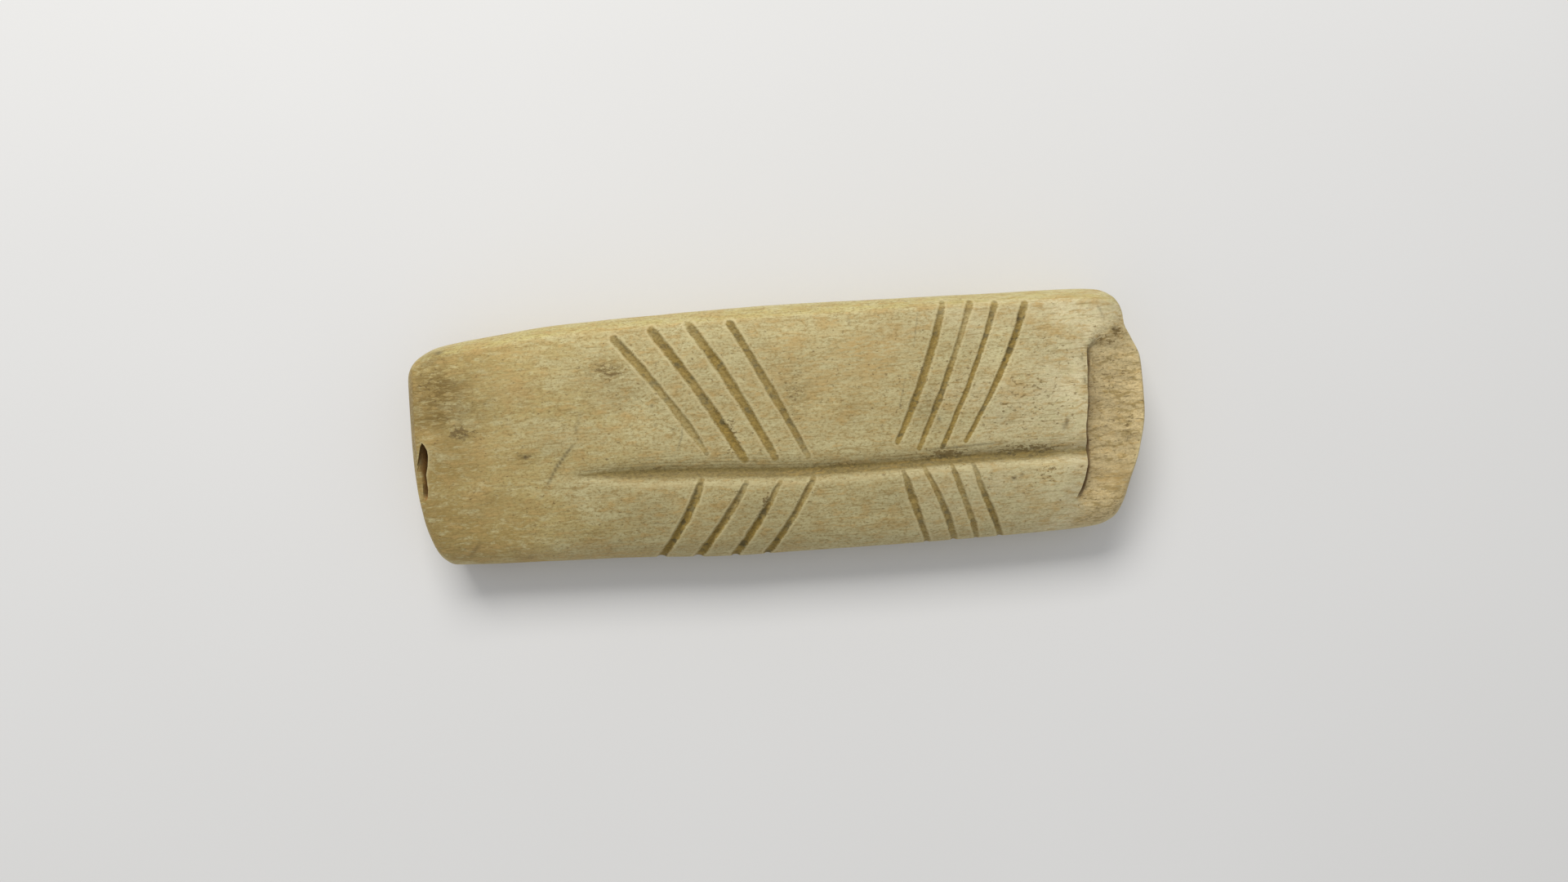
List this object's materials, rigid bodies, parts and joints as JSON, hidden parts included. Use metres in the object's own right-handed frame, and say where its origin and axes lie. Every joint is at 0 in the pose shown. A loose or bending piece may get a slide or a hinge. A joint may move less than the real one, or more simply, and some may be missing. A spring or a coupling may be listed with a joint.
{
  "type": "decorated bone",
  "caption": "Flat-backed carved bone bar with a long tapering groove, sets of incised slanting strokes, a stepped tongue end and a slotted end.",
  "frame": {"origin": "middle of the rectangle round the plan, on the flat back", "axes": "+X along the bar towards the stepped tongue end, +Y across it towards the upright band edge, +Z out of the carved face"},
  "size_m": [0.0748, 0.0256, 0.0086],
  "materials": {
    "bone": null
  },
  "bodies": {
    "root": {"decorated_bone": "bone"}
  },
  "joints": []
}
